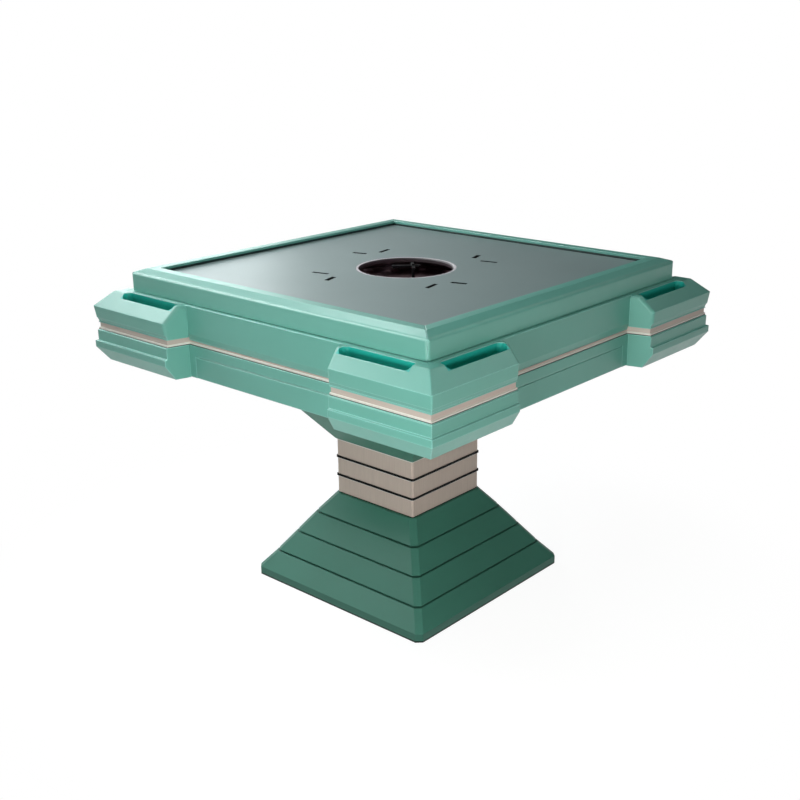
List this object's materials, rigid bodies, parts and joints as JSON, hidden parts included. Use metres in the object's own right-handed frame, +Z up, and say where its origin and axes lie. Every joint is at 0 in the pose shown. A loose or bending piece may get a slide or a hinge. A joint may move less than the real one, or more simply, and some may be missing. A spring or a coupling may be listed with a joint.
{
  "type": "mahjong table",
  "caption": "Square automatic mahjong table on a stepped pedestal, with pocketed corner blocks, a round tile well and a shallow drawer under each side.",
  "frame": {"origin": "on the floor under the middle of the table", "axes": "+Z up, +X out of the right side, +Y out of the back side; all four sides are alike"},
  "size_m": [1.035, 1.035, 0.7896],
  "materials": {
    "mint_gloss": "satin moulded plastic, mint green",
    "green_foot": "satin moulded plastic, dark green",
    "beige_sleeve": "matt beige plastic",
    "cream_trim": "pale inlay strip",
    "black_trim": "black plastic",
    "mat_cloth": "short-pile playing cloth, grey green",
    "board_wood": "medium density board",
    "collar_plastic": "pale collar",
    "drum_plastic": "dark plum plastic",
    "turntable_plastic": "brown plum plastic",
    "frame_steel": "black powder-coated steel",
    "zinc_steel": "zinc-plated steel",
    "belt_rubber": "rubber",
    "drawer_plastic": "grey-green plastic"
  },
  "bodies": {
    "table": {"base_shell": "green_foot", "underside_pan": "green_foot", "base_plate": "frame_steel", "levelling_feet": "belt_rubber", "pedestal_tube": "frame_steel", "pedestal_bolts": "zinc_steel", "column_sleeve_lower": "beige_sleeve", "column_sleeve_middle": "beige_sleeve", "column_sleeve_upper": "beige_sleeve", "column_strips": "black_trim", "bottom_tray": "green_foot", "chassis_plate": "frame_steel", "frame_posts": "frame_steel", "frame_ring": "frame_steel", "drawer_surround_right": "mint_gloss", "apron_right": "mint_gloss", "trim_strip_right": "cream_trim", "rim_rail_right": "mint_gloss", "drawer_surround_back": "mint_gloss", "apron_back": "mint_gloss", "trim_strip_back": "cream_trim", "rim_rail_back": "mint_gloss", "drawer_surround_left": "mint_gloss", "apron_left": "mint_gloss", "trim_strip_left": "cream_trim", "rim_rail_left": "mint_gloss", "drawer_surround_front": "mint_gloss", "apron_front": "mint_gloss", "trim_strip_front": "cream_trim", "rim_rail_front": "mint_gloss", "corner_base_back_right": "mint_gloss", "corner_cap_back_right": "mint_gloss", "corner_base_back_left": "mint_gloss", "corner_cap_back_left": "mint_gloss", "corner_base_front_left": "mint_gloss", "corner_cap_front_left": "mint_gloss", "corner_base_front_right": "mint_gloss", "corner_cap_front_right": "mint_gloss", "top_board": "board_wood", "play_mat": "mat_cloth", "centre_collar": "collar_plastic", "drum_bowl": "drum_plastic", "drum_spindle": "drum_plastic", "motor_body": "frame_steel", "drive_belt": "belt_rubber", "drawer_runners": "zinc_steel", "power_inlet": "black_trim"},
    "drawer_right": {"drawer_front_right": "mint_gloss", "drawer_tray_right": "drawer_plastic"},
    "drawer_back": {"drawer_front_back": "mint_gloss", "drawer_tray_back": "drawer_plastic"},
    "drawer_left": {"drawer_front_left": "mint_gloss", "drawer_tray_left": "drawer_plastic"},
    "drawer_front": {"drawer_front_front": "mint_gloss", "drawer_tray_front": "drawer_plastic"},
    "shuffler": {"turntable": "turntable_plastic", "turntable_pulley": "black_trim"},
    "motor_drive": {"motor_pulley": "zinc_steel"},
    "console_lift": {"lift_post": "frame_steel"},
    "rocker": {"power_switch": "black_trim"}
  },
  "joints": [
    {"name": "drawer_right_slide", "type": "slide", "parent": "table", "child": "drawer_right", "axis": [1, 0, 0], "range_m": [0, 0.1]},
    {"name": "drawer_back_slide", "type": "slide", "parent": "table", "child": "drawer_back", "axis": [0, 1, 0], "range_m": [0, 0.1]},
    {"name": "drawer_left_slide", "type": "slide", "parent": "table", "child": "drawer_left", "axis": [-1, 0, 0], "range_m": [0, 0.1]},
    {"name": "drawer_front_slide", "type": "slide", "parent": "table", "child": "drawer_front", "axis": [0, -1, 0], "range_m": [0, 0.1]},
    {"name": "turntable_spin", "type": "hinge", "parent": "table", "child": "shuffler", "pos_m": [0, 0, 0.7], "axis": [0, 0, 1], "continuous": true},
    {"name": "motor_spin", "type": "hinge", "parent": "table", "child": "motor_drive", "pos_m": [0.16, 0, 0.65], "axis": [0, 0, 1], "continuous": true},
    {"name": "console_lift_slide", "type": "slide", "parent": "table", "child": "console_lift", "axis": [0, 0, 1], "range_m": [-0.045, 0]},
    {"name": "power_switch_rock", "type": "hinge", "parent": "table", "child": "rocker", "pos_m": [-0.3155, 0.372, 0.572], "axis": [0, 1, 0], "range_deg": [0, 16]}
  ],
  "couplings": [
    {"joint": "motor_spin", "follows": "turntable_spin", "ratio": 5}
  ]
}
